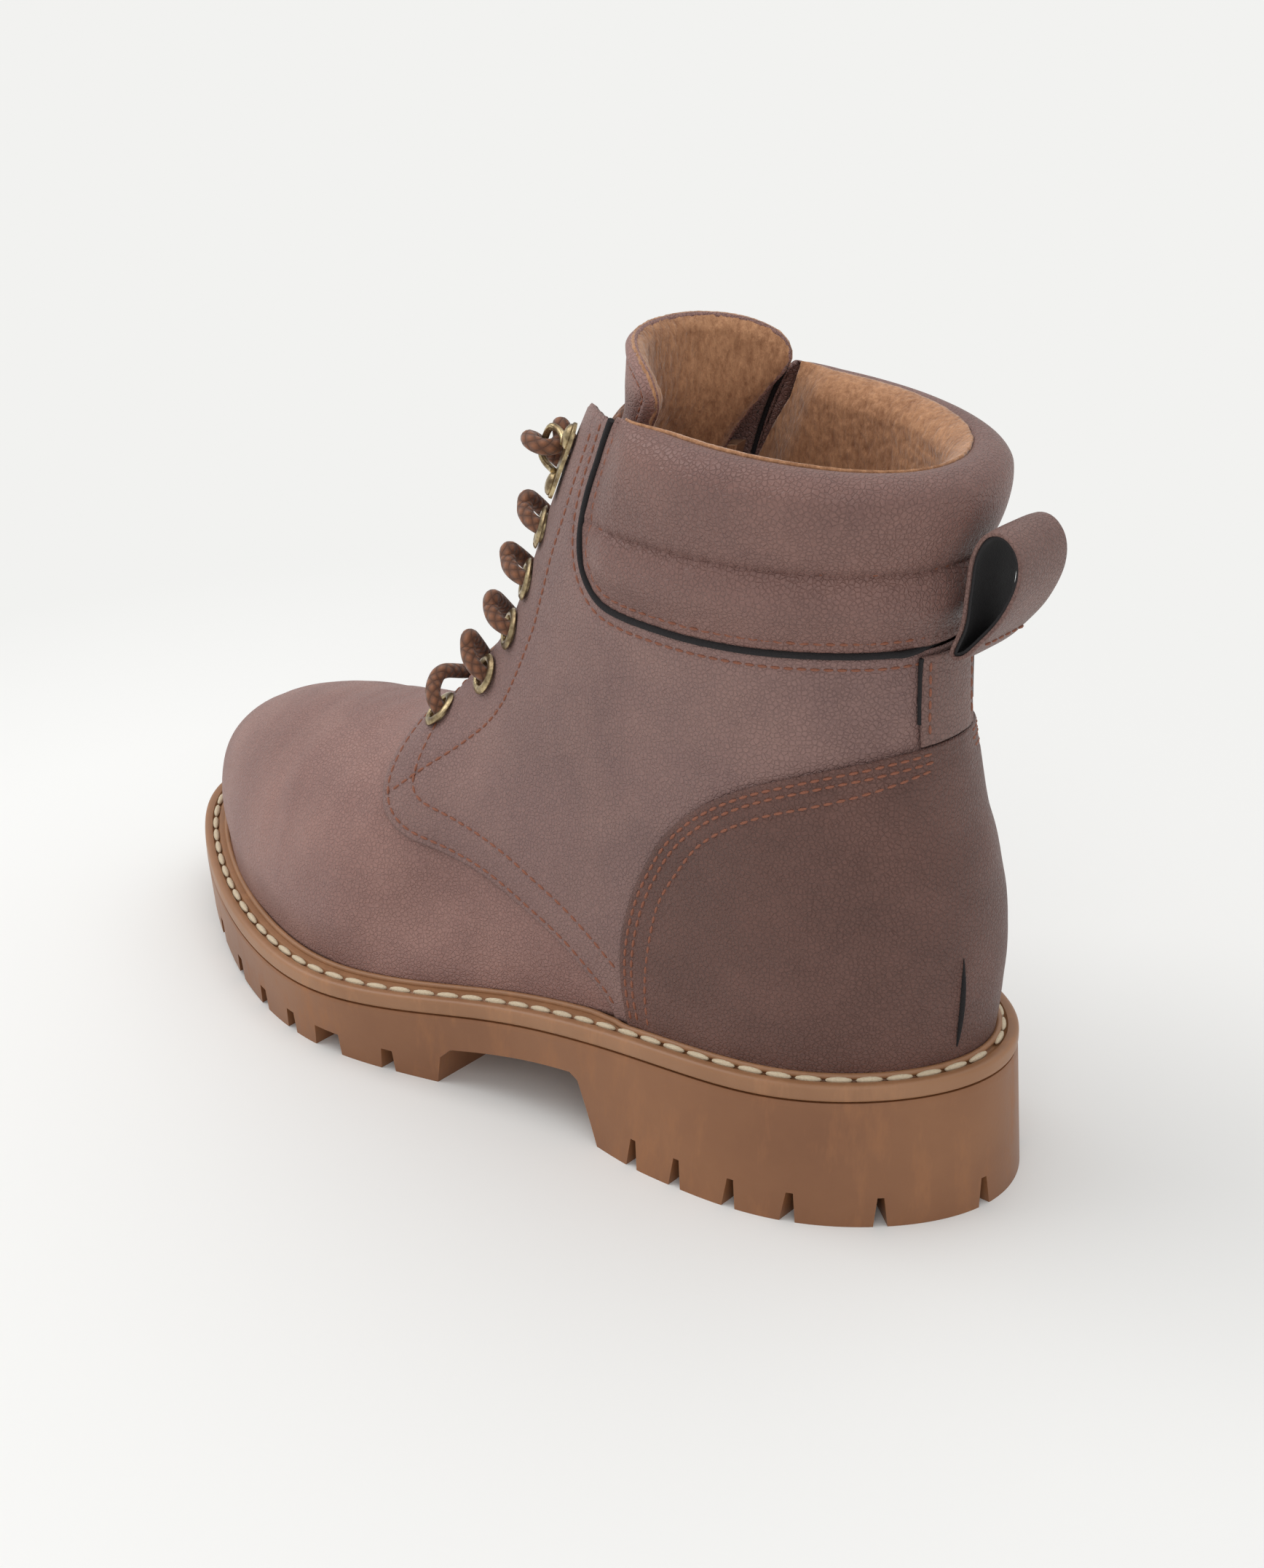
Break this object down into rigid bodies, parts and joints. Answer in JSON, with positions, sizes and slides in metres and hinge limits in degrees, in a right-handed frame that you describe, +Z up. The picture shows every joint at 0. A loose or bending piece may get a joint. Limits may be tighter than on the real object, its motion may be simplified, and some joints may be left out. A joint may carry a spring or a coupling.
{
  "type": "insulated lace-up boot",
  "caption": "Left insulated leather hunting boot with a padded two-roll collar, pile lining, laced eyelets and speed hooks, pull tab and lugged rubber sole.",
  "frame": {"origin": "centre of the heel tread, on the ground", "axes": "+Z up, -Y towards the toe, +X towards the outer (little-toe) side"},
  "size_m": [0.1142, 0.3185, 0.2233],
  "materials": {
    "outsole_rubber": "satin tan rubber",
    "welt_rubber": "satin tan rubber",
    "welt_thread": "waxed cream cord",
    "fibre_board": "matte pressed fibre",
    "steel": "plain strip steel",
    "foam": "open-cell foam",
    "vamp_leather": "oiled nubuck",
    "quarter_leather": "oiled nubuck",
    "counter_leather": "oiled nubuck, darker",
    "collar_leather": "soft oiled nubuck",
    "stiffener": "moulded sheet",
    "insulation": "fibre batting",
    "pile_lining": "brushed pile",
    "piping": "black woven binding",
    "lace_cord": "round braided cord",
    "aglet": "wrapped tip",
    "antique_brass": "antiqued, dulled"
  },
  "bodies": {
    "boot": {"outsole": "outsole_rubber", "welt": "welt_rubber", "welt_thread": "welt_thread", "sole_filler": "fibre_board", "insole_board": "fibre_board", "facing_lateral": "fibre_board", "facing_medial": "fibre_board", "shank": "steel", "collar_foam_lower": "foam", "collar_foam_upper": "foam", "vamp": "vamp_leather", "heel_counter": "counter_leather", "backstay": "counter_leather", "quarter_lateral": "quarter_leather", "quarter_medial": "quarter_leather", "collar_cover": "collar_leather", "toe_puff": "stiffener", "heel_stiffener": "stiffener", "padding_front": "insulation", "padding_lateral": "insulation", "padding_medial": "insulation", "lining_front": "pile_lining", "lining_lateral": "pile_lining", "lining_medial": "pile_lining", "collar_lining": "pile_lining", "collar_piping": "piping", "lace": "lace_cord", "aglet_lateral": "aglet", "aglet_medial": "aglet", "eyelet_lateral_1": "antique_brass", "eyelet_lateral_2": "antique_brass", "eyelet_lateral_3": "antique_brass", "eyelet_lateral_4": "antique_brass", "eyelet_lateral_5": "antique_brass", "eyelet_medial_1": "antique_brass", "eyelet_medial_2": "antique_brass", "eyelet_medial_3": "antique_brass", "eyelet_medial_4": "antique_brass", "eyelet_medial_5": "antique_brass", "hook_plate_lateral": "antique_brass", "hook_plate_medial": "antique_brass", "hook_bar_lateral": "antique_brass", "hook_bar_medial": "antique_brass", "hook_rivet_lateral_lower": "antique_brass", "hook_rivet_lateral_upper": "antique_brass", "hook_rivet_medial_lower": "antique_brass", "hook_rivet_medial_upper": "antique_brass"},
    "tongue": {"tongue": "vamp_leather", "tongue_foam": "foam", "tongue_lining": "pile_lining"},
    "tab": {"pull_tab": "counter_leather"},
    "insert": {"footbed": "foam"}
  },
  "joints": [
    {"name": "tongue_tilt", "type": "hinge", "parent": "boot", "child": "tongue", "pos_m": [0, -0.128, 0.094], "axis": [-1, 0, 0], "range_deg": [0, 12], "stiffness_Nm_per_rad": 0.2, "springref_deg": -20.05},
    {"name": "pull_tab_swing", "type": "hinge", "parent": "boot", "child": "tab", "pos_m": [0, 0.0337, 0.1582], "axis": [-1, 0, 0], "range_deg": [0, 35], "stiffness_Nm_per_rad": 0.02, "springref_deg": -8.59},
    {"name": "footbed_lift", "type": "hinge", "parent": "boot", "child": "insert", "pos_m": [0, -0.246, 0.03], "axis": [1, 0, 0], "range_deg": [0, 6]}
  ]
}
